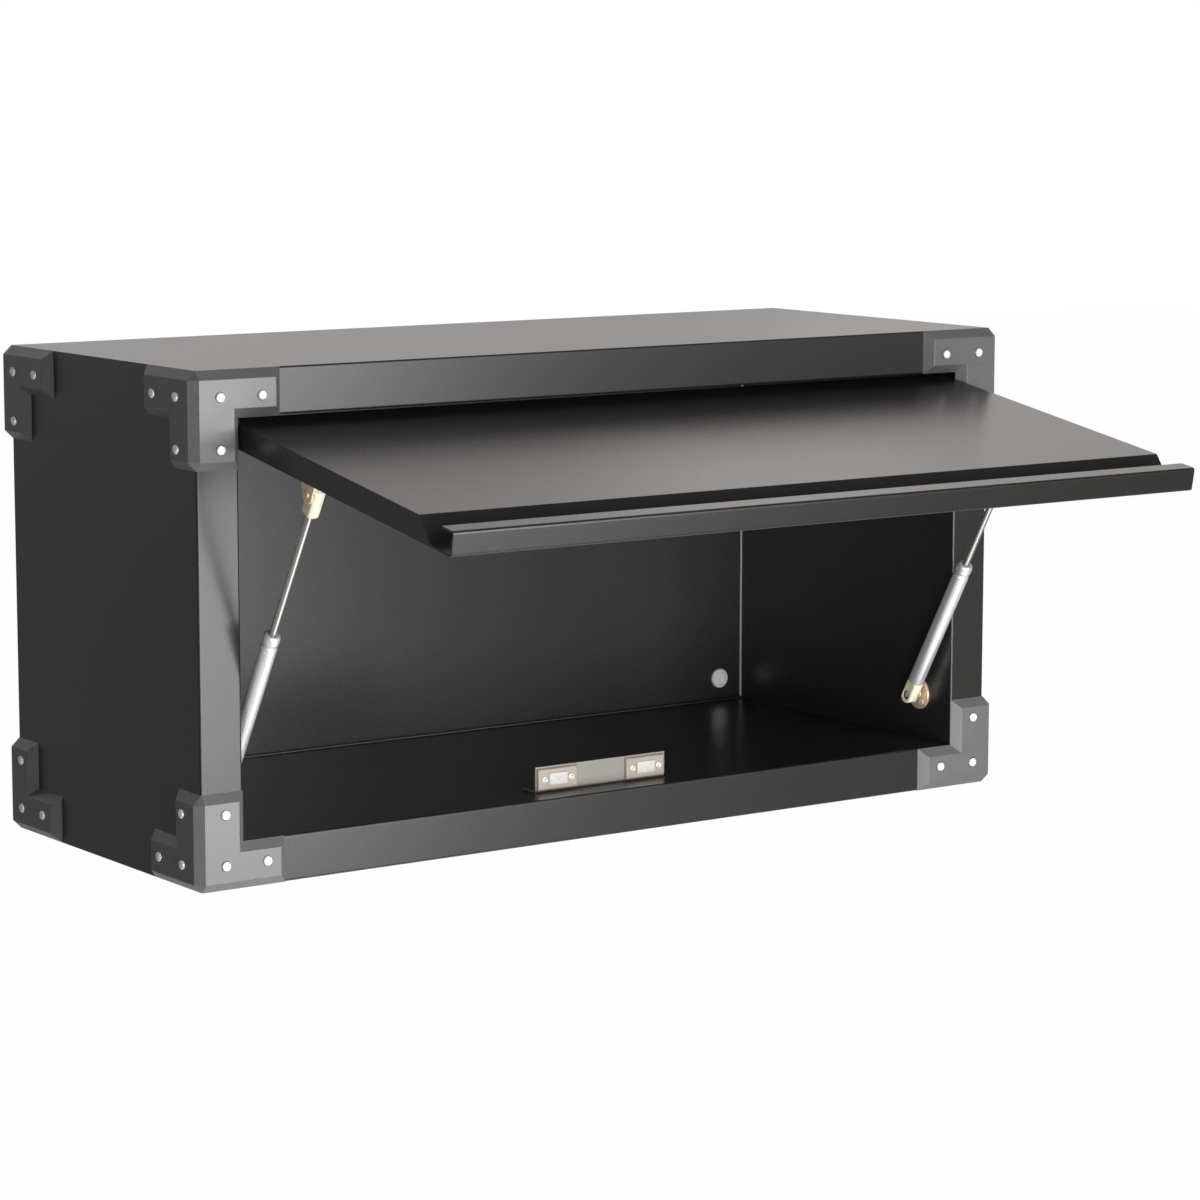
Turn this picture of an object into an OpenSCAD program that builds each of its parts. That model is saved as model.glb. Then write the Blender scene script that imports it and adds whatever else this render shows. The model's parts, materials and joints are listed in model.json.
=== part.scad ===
// Wall cabinet with a lift-up door on two gas struts and riveted corner caps.
// Millimetres: +Z is up, +X is to the right of somebody who faces the door, +Y goes into the wall.
// The origin lies on the wall plane, midway between the two upper wall screws.
// The modules draw in the cabinet's own corner frame, where y = 0 is the front face and z = 0 the
// underside, and place() moves them to the origin. The door is drawn open, at the end of its travel.

/* [Body] */
// Width of the sheet body, without the corner caps
body_w = 680; // [620:1:800]
// Height of the body
body_h = 347; // [330:1:420]
// Depth of the sheet body, without the corner caps
body_d = 263; // [250:1:340]
// Thickness of the body's sheet
body_sheet = 1.2; // [0.8:0.1:1.6]
// Width of the frame around the opening, which is also the depth of the hollow walls
frame_w = 31.8; // [30:0.1:36]
// Outer radius of the body's bends
body_bend_r = 1.6; // [1.5:0.1:3]

/* [Corner caps] */
// How far a cap stands off the body
cap_t = 6.3; // [5:0.1:8]
// Width of the slope round a cap's edges
cap_slope = 6.1; // [4:0.1:6.5]
// Length of a cap's arm along the front
cap_arm_x = 63.6; // [62:0.1:90]
// Length of a cap's arm along the side
cap_arm_y = 63.9; // [62:0.1:90]
// Length of a cap's upright arms
cap_arm_z = 66.1; // [65:0.1:90]
// Width of the upright arm on the side
cap_side_w = 29.2; // [28:0.1:33]
// Height of the level arm on the side
cap_side_h = 33.2; // [30:0.1:36]
// How far the flat faces run past the body's corner before the slanted strip
cap_corner_run = 0.6; // [0.2:0.1:1.5]

/* [Rivets] */
// Diameter of a rivet's head
rivet_head_d = 7; // [6:0.1:8]
// Height of a rivet's head
rivet_head_h = 2; // [1.2:0.1:2.6]
// Diameter of a rivet's shank
rivet_shank_d = 3.2; // [2.4:0.1:4]
// Distance from a corner's upright edge to its rivets
rivet_edge = 14.9; // [13:0.1:16]
// Distance from the top or the bottom to a corner's rivets
rivet_level = 17.6; // [15:0.1:18.5]
// Step from a corner's rivet to the one along the level arm
rivet_step_level = 31.6; // [28:0.1:34]
// Step from a corner's rivet to the one along the upright arm
rivet_step_upright = 34.6; // [30:0.1:35.5]

/* [Door] */
// Thickness of the door
door_t = 16.5; // [15:0.1:20]
// Thickness of the door's outer sheet
door_sheet = 1.6; // [1.2:0.1:2]
// How far the open door hangs below level, in degrees
door_tilt = 9.7; // [8:0.1:15]
// Depth of the hinge axis behind the front face
hinge_y = 11.1; // [10:0.1:12]
// Height of the opening's upper edge above the hinge axis
hinge_drop = 10.4; // [10:0.1:12]
// Distance from the hinge axis to the door's outer face
hinge_to_face = 7.1; // [6.5:0.1:7.5]
// Distance from the hinge axis to the door's hinged edge
hinge_to_edge = 7.4; // [7:0.1:8]
// Gap between the door and each side of the opening
door_gap_side = 0.8; // [0.6:0.1:1.2]
// Gap between the closed door and the lower rail
door_gap_low = 2.2; // [2:0.1:4]
// Length of the flat lip of the handle
handle_lip = 13.4; // [10:0.1:15]
// Opening between the lip and the door's face
handle_mouth = 25.3; // [22:0.1:28]
// Slope of the handle's inner wall, in degrees
handle_slope = 46; // [42:1:60]

/* [Gas struts] */
// Distance from the side wall to a strut's axis
strut_inset = 9.2; // [9.2:0.1:12]
// Depth of the lower pivot behind the front face
strut_low_y = 36.5; // [36:0.1:42]
// Height of the lower pivot above the floor
strut_low_rise = 34.6; // [30:0.1:38]
// Distance from the hinge axis to the upper pivot, as a share of the door's height less the room
// that the strut's own ends take up
strut_reach_share = 0.482; // [0.46:0.002:0.49]
// Depth of the upper pivot behind the door's inner face
strut_pin_drop = 7.4; // [7:0.1:9]
// Diameter of a strut's tube
tube_d = 12; // [11:0.1:12.5]
// Diameter of a strut's rod
rod_d = 5; // [4:0.1:6]
// Length of the lower socket from its pivot to the tube
low_socket_len = 12.2; // [12:0.1:16]
// Length of the upper socket from its pivot to the rod
high_socket_len = 15.6; // [12:0.1:16]
// Diameter of the balls in the sockets
ball_d = 8; // [7.5:0.1:8]

/* [Magnetic catch] */
// Width of the catch's upright plate
catch_w = 113; // [100:1:160]
// Height of the catch above the floor
catch_h = 18.4; // [16:0.1:22]
// Width of each magnet holder
holder_w = 34.3; // [30:0.1:38]
// Height of each magnet holder
holder_h = 16; // [14:0.1:16]
// Width of a magnet
magnet_w = 15.6; // [12:0.1:17]
// Height of a magnet
magnet_h = 8.5; // [7:0.1:10]
// Step between a holder's two screws
holder_screw_step = 22.9; // [21:0.1:24]

/* [Wall fixing] */
// Distance from the inner side wall to the fixing holes
wall_hole_inset = 22.2; // [18:0.1:40]
// Distance from the floor or the ceiling to the fixing holes
wall_hole_rise = 17.7; // [15:0.1:30]
// Diameter of the hole for a wall screw
wall_hole_d = 6.6; // [5:0.1:8]
// Diameter of the plugs' and bushes' rims
plug_rim_d = 17.3; // [15:0.1:20]

/* [Hidden] */

// Overrun of every cutting shape past the face that it cuts
cut = 1;
// Number of flats round a quarter bend, and smoothness of the round pieces
bend_flats = 6;
round_fn = 64;

// Derived sizes of the body
half_w = body_w / 2;
inner_x = half_w - frame_w;
floor_z = frame_w;
ceiling_z = body_h - frame_w;
wall_y = body_d + cap_t;
back_y = body_d - body_sheet;
bend_mid_r = body_bend_r - body_sheet / 2;
wall_hole_x = inner_x - wall_hole_inset;
wall_hole_low_z = floor_z + wall_hole_rise;
wall_hole_top_z = ceiling_z - wall_hole_rise;

// Fillers at the back of the inside
floor_strip_w = 6;
floor_strip_t = 1.6;
bead_w = 1.6;

// Derived sizes of the caps and the rivets
cap_strip_off = (cap_t + cap_corner_run) / sqrt(2);
cap_strip_extra = 0.25;
cap_backing = 2.5;
rivet_tail_d = 4.8;
rivet_tail_h = 2;
rivet_ball_r = (pow(rivet_head_d / 2, 2) + pow(rivet_head_h, 2)) / (2 * rivet_head_h);

// Derived sizes of the door, in its own frame: u runs from the hinge axis to the handle, and
// w from the hinge axis to the outer face
hinge_z = ceiling_z - hinge_drop;
door_half_w = inner_x - door_gap_side;
door_reach = hinge_z - floor_z - door_gap_low;
door_inner_w = hinge_to_face - door_t;
door_mid = door_sheet / 2;
door_bend_r = 1.2;
lip_u = door_reach - handle_lip;
mouth_u = lip_u - handle_mouth;
pan_w_out = hinge_to_face - door_sheet;
slope_run = door_t / tan(handle_slope);
slope_shift = door_mid * tan(handle_slope / 2);

// Inner tray of the door, which leaves a channel for the strut at each end
liner_sheet = 1;
liner_back_u = -4;
strut_channel_gap = 7;

// Derived places of the hinge pins
pin_d = 5;
pin_head_d = 9;
pin_head_t = 1.5;
pin_stand = 8.2;
pin_tip_x = inner_x - pin_stand;
fit_gap = 0.05;
bush_d = 8;
bush_flange_d = 10;
bush_flange_t = 1.2;
bush_overhang = 0.5;
bush_end_x = pin_tip_x - bush_overhang;

// Derived places of the strut's pivots, as [y, z]
function door_point(u, w) = [hinge_y - u * cos(door_tilt) - w * sin(door_tilt),
    hinge_z - u * sin(door_tilt) + w * cos(door_tilt)];
strut_x = inner_x - strut_inset;
strut_low = [strut_low_y, floor_z + strut_low_rise];
strut_ends_room = 75;
pin_u = strut_reach_share * (door_reach + hinge_to_edge - strut_ends_room);
pin_w = door_inner_w - strut_pin_drop;
strut_high = door_point(pin_u, pin_w);
strut_high_closed = [hinge_y - pin_w, hinge_z - pin_u];
strut_len = norm(strut_high - strut_low);
strut_len_closed = norm(strut_high_closed - strut_low);
strut_lean = atan2(strut_low[0] - strut_high[0], strut_high[1] - strut_low[1]);

// Derived sizes of the strut, measured along it from the lower pivot
tube_wall = 1;
tube_floor_t = 1.2;
tube_top_gap = 1;
tube_top = strut_len_closed - high_socket_len - tube_top_gap;
tube_floor = low_socket_len + tube_floor_t;
tube_round = 2.2;
groove_depth = 0.5;
groove_w = 1.6;
groove_from_top = 8.5;
stud_d = 5;
stud_start = 6;
guide_step = 1.2;
guide_neck_d = 8;
guide_longest = 8;
piston_play = 0.1;
piston_d = tube_d - 2 * tube_wall - 2 * piston_play;
piston_len = 5;
piston_gap = 0.8;
rod_end = strut_len - strut_len_closed + tube_floor + piston_gap;
guide_len = min(guide_longest, tube_top - rod_end - piston_len - piston_gap);
ball_gap = 0.3;
socket_d = 12;
socket_flats = 8.6;
socket_end_r = 6.3;
socket_lip_t = 1;
socket_lip_d = 6.6;
neck_d = 4.4;
open_pivot_gap = 0.3;
liner_half_w = strut_x - socket_d / 2 - strut_channel_gap;

// Strut bracket on the door, measured from the upper pivot along the door
bracket_t = 1.8;
bracket_x = door_half_w - door_sheet - bracket_t;
bracket_tail_r = 6.2;
bracket_tail_rise = 1;
bracket_root_w = 17;
bracket_back_w = 24;
bracket_top_w = 3;
bracket_step_w = -6;
bracket_head_d = 4.6;
bracket_head_h = 0.8;

// Disc on the side wall that carries the lower pivot
disc_d = 24;
disc_t = 2;
disc_edge = 0.7;
collar_d = 8;
collar_t = 1;
disc_screws_n = 3;
disc_screw_r = 7.6;
disc_screw_turn = 138;
screw_head_d = 4.6;
screw_head_h = 1.3;
screw_shank_d = 2.8;
screw_len = 8;
screw_slot_w = 0.9;
screw_slot_len = 3;
screw_slot_depth = 0.7;

// Derived places of the catch, from the closed door's inner face towards the back
closed_inner_y = hinge_y - door_inner_w;
magnet_gap = 0.3;
magnet_proud = 0.6;
magnet_y = closed_inner_y + magnet_gap;
holder_y = magnet_y + magnet_proud;
holder_t = 2;
holder_edge = 1;
catch_y = holder_y + holder_t;
catch_t = 1.5;
catch_foot = 16;
holder_inset = 1;
holder_x = catch_w / 2 - holder_inset - holder_w / 2;
catch_mid_z = floor_z + catch_h / 2;
magnet_depth = 1.4;
catch_screw_d = 4.8;
catch_screw_h = 0.7;
catch_shank_d = 2.6;
catch_shank_len = 4;

// Derived sizes of the wall bushes and hole plugs
plug_rim_t = 2.6;
plug_dish_d = 12;
plug_dish_depth = 1.5;
plug_body_d = 13;
plug_body_len = 5;
plug_hollow_d = 9;

// Colours
shell_grey = [0.38, 0.37, 0.36];
cap_grey = [0.5, 0.49, 0.48];
door_grey = [0.52, 0.5, 0.49];
dark_grey = [0.2, 0.2, 0.2];
bright_steel = [0.86, 0.86, 0.87];
zinc_gold = [0.83, 0.73, 0.58];
ivory = [0.93, 0.92, 0.8];
pale_grey = [0.8, 0.8, 0.79];
nickel = [0.72, 0.7, 0.67];
holder_beige = [0.78, 0.73, 0.66];

// Frames

// Moves the corner frame to the origin on the wall plane
module place() {
    translate([0, -wall_y, -wall_hole_top_z])
        children();
}

// Draws its children for the left side, or mirrored for the right side
module on_side(side) {
    if (side < 0) children();
    else mirror([1, 0, 0]) children();
}

// Puts the frame of the front left lower corner at any of the eight corners
module at_corner(sx, sy, sz) {
    translate([0, sy > 0 ? body_d : 0, sz > 0 ? body_h : 0])
        flip([1, 0, 0], sx > 0)
            flip([0, 1, 0], sy > 0)
                flip([0, 0, 1], sz > 0)
                    translate([-half_w, 0, 0])
                        children();
}

module flip(axis, wanted) {
    if (wanted) mirror(axis) children();
    else children();
}

// The door's frame: -Y runs from the hinge to the handle, +Z to the outer face
module in_door() {
    translate([0, hinge_y, hinge_z])
        rotate([door_tilt, 0, 0])
            children();
}

// A strut's frame on the left side: Z runs from the lower pivot to the upper one
module in_strut() {
    translate([-strut_x, strut_low[0], strut_low[1]])
        rotate([strut_lean, 0, 0])
            children();
}

// Extrude a [y, z] drawing along X, an [x, z] drawing along Y, or an [x, y] drawing along Z
module along_x(x0, x1) {
    translate([x0, 0, 0])
        rotate([90, 0, 90])
            linear_extrude(height = x1 - x0)
                children();
}

module along_y(y0, y1) {
    translate([0, y1, 0])
        rotate([90, 0, 0])
            linear_extrude(height = y1 - y0)
                children();
}

module along_z(z0, z1) {
    translate([0, 0, z0])
        linear_extrude(height = z1 - z0)
            children();
}

// A round bar along X or Y
module bar_x(x0, x1, d) {
    translate([x0, 0, 0])
        rotate([0, 90, 0])
            cylinder(h = x1 - x0, d = d, $fn = round_fn);
}

module bar_y(y0, y1, d) {
    translate([0, y0, 0])
        rotate([-90, 0, 0])
            cylinder(h = y1 - y0, d = d, $fn = round_fn);
}

// Folded sheets

function unit(v) = v / norm(v);
function left_of(v) = [-v[1], v[0]];
function turn_side(p, q) = sign(p[0] * q[1] - p[1] * q[0]);
function flipped(list) = [for (i = [len(list) - 1 : -1 : 0]) list[i]];

// Points of one face of a bend at b, between the lines from a and to c: an arc about the
// bend's centre, whose radius is the middle radius less the offset to the left
function bend_points(a, b, c, r, off) =
    let (p = unit(b - a), q = unit(c - b), s = turn_side(p, q), turn = acos(p * q))
    let (start = b - p * r * tan(turn / 2), centre = start + s * r * left_of(p))
    let (first = atan2(-s * left_of(p)[1], -s * left_of(p)[0]))
    [for (i = [0 : bend_flats]) let (a_i = first + s * turn * i / bend_flats)
        centre + (r - s * off) * [cos(a_i), sin(a_i)]];

// One face of a folded sheet, off the middle line by the given offset to the left
function sheet_face(path, r, off) = concat(
    [path[0] + off * left_of(unit(path[1] - path[0]))],
    [for (i = [1 : len(path) - 2]) for (p = bend_points(path[i - 1], path[i], path[i + 1], r, off)) p],
    [path[len(path) - 1] + off * left_of(unit(path[len(path) - 1] - path[len(path) - 2]))]);

// Section of a sheet folded along a middle line
module folded(path, r, t) {
    polygon(concat(sheet_face(path, r, t / 2), flipped(sheet_face(path, r, -t / 2))));
}

// Body

// Middle line of the hollow walls' section: outer wall, face and inner wall
function wall_path(depth) = let (m = body_sheet / 2)
    [[back_y + body_sheet, m], [m, m], [m, depth - m], [back_y, depth - m]];

// Outline of the body from above, with its two front corners rounded
module plan_outline() {
    m = body_sheet / 2;
    corner = concat(bend_points([-half_w, body_d], [-half_w, 0], [0, 0], body_bend_r, 0),
        bend_points([0, 0], [half_w, 0], [half_w, body_d], body_bend_r, 0));
    polygon(concat([[-half_w, body_d]], corner, [[half_w, body_d]]));
}

// Outline of the body from the side, with its two front edges rounded
module side_outline() {
    corner = concat(bend_points([body_d, 0], [0, 0], [0, body_h], body_bend_r, 0),
        bend_points([0, 0], [0, body_h], [body_d, body_h], body_bend_r, 0));
    polygon(concat([[body_d, 0]], corner, [[body_d, body_h]]));
}

module body_block() {
    intersection() {
        along_z(0, body_h) plan_outline();
        along_x(-half_w, half_w) side_outline();
    }
}

// Places of a corner's rivets, along the level direction and upwards
rivet_spots = [[rivet_edge, rivet_level], [rivet_edge + rivet_step_level, rivet_level],
    [rivet_edge, rivet_level + rivet_step_upright]];

// Bores for the rivets of one corner, through the plates and the sheets behind them
module corner_rivet_bores(sx, sy, sz) {
    at_rivets(sx, sy, sz)
        bar_y(-cap_t - cut, body_sheet + cut, rivet_shank_d);
}

// Draws its children at a corner's rivets, for a rivet whose head points to -Y: three on the
// side, and three on the front. The back rests on the wall and has none.
module at_rivets(sx, sy, sz) {
    at_corner(sx, sy, sz)
        for (spot = rivet_spots) {
            if (sy < 0) translate([spot[0], 0, spot[1]]) children();
            mirror([1, -1, 0]) translate([spot[0], 0, spot[1]]) children();
        }
}

// Bores in a left inner wall for the hinge pin and the strut disc's screws
module left_wall_bores() {
    translate([-inner_x, hinge_y, hinge_z])
        bar_x(-body_sheet - cut, cut, pin_d);
    translate([-inner_x, strut_low[0], strut_low[1]])
        at_disc_screws()
            bar_x(-body_sheet - cut, cut, screw_shank_d);
}

// Draws its children at each of a disc's screws, about the lower pivot
module at_disc_screws() {
    for (i = [1 : disc_screws_n])
        rotate([disc_screw_turn + 360 * i / disc_screws_n, 0, 0])
            translate([0, 0, disc_screw_r])
                children();
}

// Top box: the top sheet over the whole body, the upper rail and the ceiling
module top_box() {
    color(shell_grey) place() difference() {
        intersection() {
            along_x(-half_w, half_w)
                folded([for (p = wall_path(frame_w)) [p[0], body_h - p[1]]], bend_mid_r, body_sheet);
            body_block();
        }
        box_ends(body_h - frame_w - cut, body_h - body_sheet);
        for (sx = [-1, 1]) corner_rivet_bores(sx, -1, 1);
    }
}

// Bottom box: the same, upside down
module bottom_box() {
    color(shell_grey) place() difference() {
        intersection() {
            along_x(-half_w, half_w)
                folded(wall_path(frame_w), bend_mid_r, body_sheet);
            body_block();
        }
        box_ends(body_sheet, frame_w + cut);
        for (sx = [-1, 1]) corner_rivet_bores(sx, -1, -1);
    }
}

// Cuts the rail and the inner sheet off at both side walls
module box_ends(z0, z1) {
    for (sx = [-1, 1])
        translate([sx > 0 ? inner_x : -half_w - cut, -cut, z0])
            cube([frame_w + cut, body_d + 2 * cut, z1 - z0]);
}

// Side box: outer wall, stile and inner wall, folded from one sheet
module side_box(side) {
    color(shell_grey) place() on_side(side) difference() {
        intersection() {
            along_z(body_sheet, body_h - body_sheet)
                folded([for (p = wall_path(frame_w)) [p[1] - half_w, p[0]]], bend_mid_r, body_sheet);
            body_block();
        }
        for (sy = [-1, 1])
            for (sz = [-1, 1])
                corner_rivet_bores(-1, sy, sz);
        left_wall_bores();
    }
}

// Back panel between the outer walls, with the four wall-fixing openings
module back_panel() {
    color(shell_grey) place() difference() {
        translate([-half_w + body_sheet, back_y, body_sheet])
            cube([body_w - 2 * body_sheet, body_sheet, body_h - 2 * body_sheet]);
        for (sx = [-1, 1])
            for (z = [wall_hole_low_z, wall_hole_top_z])
                translate([sx * wall_hole_x, 0, z])
                    bar_y(back_y - cut, body_d + cut, plug_body_d);
    }
}

// Strip along the floor's back edge
module rear_floor_strip() {
    color(dark_grey) place()
        translate([-inner_x + bead_w, back_y - floor_strip_w, floor_z])
            cube([2 * (inner_x - bead_w), floor_strip_w, floor_strip_t]);
}

// Upright beads in the two back corners of the inside
module rear_corner_beads() {
    color(pale_grey) place()
        for (sx = [-1, 1])
            translate([sx > 0 ? inner_x - bead_w : -inner_x, back_y - bead_w, floor_z])
                cube([bead_w, bead_w, ceiling_z - floor_z]);
}

// Corner caps

// Section of a plate with a slope at either end, as [along, out]
function plate_section(length, first, last) =
    [[0, 0], [length, 0], [length - last, cap_t], [first, cap_t]];

// Plate on the front face, of width w and height h, sloped on every edge but the left one
module sloped_plate(w, h) {
    intersection() {
        along_z(0, h)
            polygon([for (p = plate_section(w, 0, cap_slope)) [p[0], -p[1]]]);
        along_x(0, w)
            polygon([for (p = plate_section(h, cap_slope, cap_slope)) [-p[1], p[0]]]);
    }
}

// The two arms of an L on the front face
module cap_arms(arm, h, w) {
    sloped_plate(arm, h);
    sloped_plate(w, cap_arm_z);
}

// The column that joins the two Ls round the corner, with its slanted strip
module cap_column() {
    strip_slope = cap_slope + cap_strip_extra;
    upright = plate_section(cap_arm_z, cap_slope, cap_slope);
    strip = [for (p = plate_section(cap_arm_z, strip_slope, strip_slope))
        [-p[1] * cap_strip_off / cap_t, p[0]]];
    intersection() {
        along_x(-cap_t, 0) polygon([for (p = upright) [-p[1], p[0]]]);
        mirror([1, -1, 0]) along_x(-cap_t, 0) polygon([for (p = upright) [-p[1], p[0]]]);
        rotate([0, 0, -45]) along_x(-2 * cap_t, 2 * cap_t) polygon(strip);
    }
}

// Filling between the cap and the body's rounded front edges
module cap_backing_strips() {
    cube([cap_backing, cap_backing, cap_arm_z]);
    cube([cap_arm_x, cap_backing, cap_backing]);
}

module corner_cap(sx, sy, sz) {
    color(cap_grey) place() difference() {
        union() {
            at_corner(sx, sy, sz) {
                cap_arms(cap_arm_x, frame_w, frame_w);
                mirror([1, -1, 0]) cap_arms(cap_arm_y, cap_side_h, cap_side_w);
                cap_column();
            }
            if (sy < 0)
                difference() {
                    at_corner(sx, sy, sz) cap_backing_strips();
                    body_block();
                }
        }
        corner_rivet_bores(sx, sy, sz);
    }
}

// One rivet whose head points to -Y: a domed head, the shank and the upset tail
module rivet() {
    intersection() {
        translate([0, -cap_t - rivet_head_h + rivet_ball_r, 0])
            sphere(r = rivet_ball_r, $fn = round_fn);
        bar_y(-cap_t - rivet_head_h, -cap_t, rivet_head_d);
    }
    bar_y(-cap_t, body_sheet, rivet_shank_d);
    bar_y(body_sheet, body_sheet + rivet_tail_h, rivet_tail_d);
}

module corner_rivets(sx, sy, sz) {
    color(bright_steel) place() at_rivets(sx, sy, sz) rivet();
}

// Wall fixing

// A rim inside the cabinet and a body through the back panel
module plug_shape(body_end) {
    difference() {
        union() {
            bar_y(back_y - plug_rim_t, back_y, plug_rim_d);
            bar_y(back_y, body_end, plug_body_d);
        }
        bar_y(back_y - plug_rim_t - cut, back_y - plug_rim_t + plug_dish_depth, plug_dish_d);
    }
}

// Bush for an upper wall screw: it stands the cabinet off to the wall plane
module wall_bush(side) {
    color(pale_grey) place() on_side(side)
        translate([-wall_hole_x, 0, wall_hole_top_z])
            difference() {
                plug_shape(wall_y);
                bar_y(back_y - plug_rim_t - cut, wall_y + cut, wall_hole_d);
            }
}

// Plug that closes a spare lower hole, hollow from behind
module hole_plug(side) {
    color(pale_grey) place() on_side(side)
        translate([-wall_hole_x, 0, wall_hole_low_z])
            difference() {
                plug_shape(back_y + plug_body_len);
                bar_y(back_y, back_y + plug_body_len + cut, plug_hollow_d);
            }
}

// Hinge

module hinge_pin(side) {
    color(bright_steel) place() on_side(side)
        translate([0, hinge_y, hinge_z]) {
            bar_x(-inner_x - body_sheet - pin_head_t, -inner_x - body_sheet, pin_head_d);
            bar_x(-inner_x - body_sheet, -pin_tip_x, pin_d);
        }
}

module hinge_bush(side) {
    flange_x = -door_half_w + door_sheet;
    color(pale_grey) place() on_side(side) in_door()
        difference() {
            union() {
                bar_x(-door_half_w, -bush_end_x, bush_d);
                bar_x(flange_x, flange_x + bush_flange_t, bush_flange_d);
            }
            bar_x(-door_half_w - cut, -bush_end_x + cut, pin_d + 2 * fit_gap);
        }
}

// Magnetic catch

module catch_bracket() {
    m = catch_t / 2;
    upright = [[catch_y + m, floor_z + catch_h], [catch_y + m, floor_z + m],
        [catch_y + catch_foot, floor_z + m]];
    color(nickel) place()
        difference() {
            along_x(-catch_w / 2, catch_w / 2) folded(upright, catch_t, catch_t);
            catch_screw_bores(catch_y - cut, catch_y + catch_t + cut);
        }
}

// Bores for the four screws of the magnet holders
module catch_screw_bores(y0, y1) {
    for (sx = [-1, 1])
        for (step = [-1, 1])
            translate([sx * holder_x + step * holder_screw_step / 2, 0, catch_mid_z])
                bar_y(y0, y1, catch_shank_d);
}

// Magnet holder with sloped edges and a pocket for its magnet
module magnet_holder(side) {
    color(holder_beige) place() difference() {
        intersection() {
            translate([side * holder_x, 0, 0])
                along_z(catch_mid_z - holder_h / 2, catch_mid_z + holder_h / 2)
                    polygon(holder_section(holder_w));
            translate([0, 0, catch_mid_z])
                along_x(side * holder_x - holder_w / 2, side * holder_x + holder_w / 2)
                    polygon([for (p = holder_section(holder_h)) [p[1], p[0]]]);
        }
        translate([side * holder_x - magnet_w / 2, holder_y - cut, catch_mid_z - magnet_h / 2])
            cube([magnet_w, magnet_depth + cut, magnet_h]);
        catch_screw_bores(holder_y - cut, catch_y + cut);
    }
}

// Section of a holder across its width or its height, as [across, y]
function holder_section(size) = [[-size / 2, catch_y], [size / 2, catch_y],
    [size / 2, holder_y + holder_edge], [size / 2 - holder_edge, holder_y],
    [-size / 2 + holder_edge, holder_y], [-size / 2, holder_y + holder_edge]];

module magnet(side) {
    color(pale_grey) place()
        translate([side * holder_x - magnet_w / 2, magnet_y, catch_mid_z - magnet_h / 2])
            cube([magnet_w, magnet_depth + magnet_proud, magnet_h]);
}

// The four screws of the magnet holders
module catch_screws() {
    color(bright_steel) place()
        for (sx = [-1, 1])
            for (step = [-1, 1])
                translate([sx * holder_x + step * holder_screw_step / 2, 0, catch_mid_z])
                    difference() {
                        union() {
                            bar_y(holder_y - catch_screw_h, holder_y, catch_screw_d);
                            bar_y(holder_y, holder_y + catch_shank_len, catch_shank_d);
                        }
                        bar_y(holder_y - catch_screw_h - cut, holder_y - catch_screw_h / 2, catch_shank_d);
                    }
}

// Door

// Middle line of the door's outer sheet in [y, z] of the door's frame: hinged edge, face,
// slanted wall, channel floor, front wall and lip
function skin_path() =
    let (face = hinge_to_face - door_mid, low = door_inner_w + door_mid)
    let (top = mouth_u - slope_shift, foot = top + (face - low) / tan(handle_slope))
    [[hinge_to_edge - door_mid, door_inner_w], [hinge_to_edge - door_mid, face], [-top, face],
        [-foot, low], [-door_reach + door_mid, low], [-door_reach + door_mid, face], [-lip_u, face]];

// Shape of the door's ends, out to the slanted wall
module end_outline() {
    polygon([[hinge_to_edge - door_mid, door_inner_w], [hinge_to_edge - door_mid, hinge_to_face - door_mid],
        [-mouth_u + door_mid, hinge_to_face - door_mid],
        [-mouth_u - slope_run + 2 * door_mid, door_inner_w]]);
}

module door_skin() {
    color(door_grey) place() in_door() difference() {
        union() {
            along_x(-door_half_w, door_half_w) folded(skin_path(), door_bend_r, door_sheet);
            for (side = [-1, 1])
                on_side(side)
                    along_x(-door_half_w, -door_half_w + door_sheet) end_outline();
        }
        for (side = [-1, 1])
            on_side(side) bar_x(-door_half_w - cut, -door_half_w + door_sheet + cut, bush_d);
    }
}

// Space between the skin's sheets that the inner tray fills
module pan_space() {
    slack = door_sheet / sin(handle_slope);
    polygon([[hinge_to_edge - door_sheet, door_inner_w], [hinge_to_edge - door_sheet, pan_w_out],
        [-mouth_u + slack, pan_w_out], [-mouth_u - slope_run + slack, door_inner_w]]);
}

// Inner tray: a panel with its two ends turned up against the skin
module door_liner() {
    m = liner_sheet / 2;
    tray = [[-liner_half_w + m, pan_w_out], [-liner_half_w + m, door_inner_w + m],
        [liner_half_w - m, door_inner_w + m], [liner_half_w - m, pan_w_out]];
    color(door_grey) place() in_door()
        intersection() {
            along_y(-door_reach, -liner_back_u) folded(tray, liner_sheet, liner_sheet);
            along_x(-door_half_w, door_half_w) pan_space();
        }
}

// Strut bracket: a plate on the door's end whose tongue reaches the upper pivot
module strut_bracket(side) {
    root = bracket_root_w / 2;
    back = bracket_back_w / 2;
    color(zinc_gold) place() on_side(side) in_door()
        translate([0, -pin_u, 0]) {
            along_x(-bracket_x - bracket_t, -bracket_x) {
                polygon([[-back, bracket_top_w], [back, bracket_top_w], [back, bracket_step_w],
                    [root, door_inner_w], [bracket_tail_r, pin_w + bracket_tail_rise],
                    [-bracket_tail_r, pin_w + bracket_tail_rise], [-root, door_inner_w],
                    [-back, bracket_step_w]]);
                translate([0, pin_w]) circle(r = bracket_tail_r, $fn = round_fn);
            }
            translate([0, 0, pin_w])
                bar_x(-bracket_x - bracket_t - bracket_head_h, -bracket_x - bracket_t, bracket_head_d);
        }
}

// Gas struts, drawn for the left side in the strut's frame

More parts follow.
